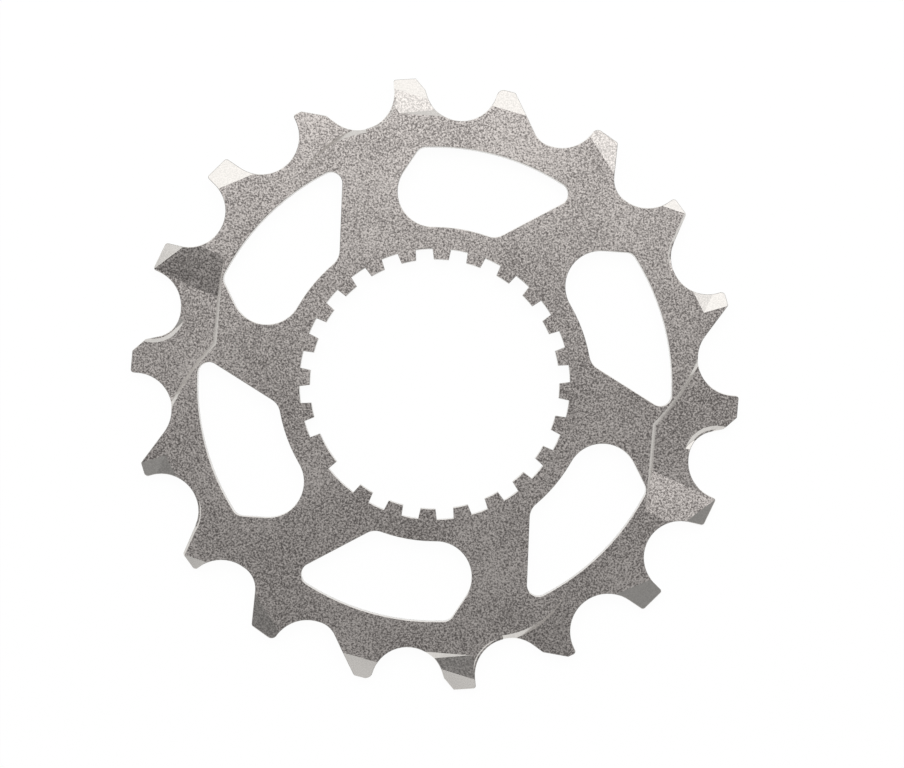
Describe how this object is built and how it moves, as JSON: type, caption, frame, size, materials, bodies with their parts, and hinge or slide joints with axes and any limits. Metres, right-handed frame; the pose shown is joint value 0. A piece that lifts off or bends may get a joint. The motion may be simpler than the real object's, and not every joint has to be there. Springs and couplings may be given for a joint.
{
  "type": "bicycle cassette cog",
  "caption": "Flat toothed steel cog for a bicycle cassette, with a splined bore, lightening windows and shift ramps on its front face.",
  "frame": {"origin": "on the bore's axis, on the flat back face that the cog lies on", "axes": "+Z along the bore axis, out of the front face that carries the ramps; +Y as up in the picture, a tooth stands 5 degrees to the left of it; +X to the right"},
  "size_m": [0.075, 0.0756, 0.0016],
  "materials": {
    "plated_steel": "speckled satin nickel plate, smoother and brighter on the machined ramps and tooth bevels"
  },
  "bodies": {
    "root": {"cog": "plated_steel"}
  },
  "joints": []
}
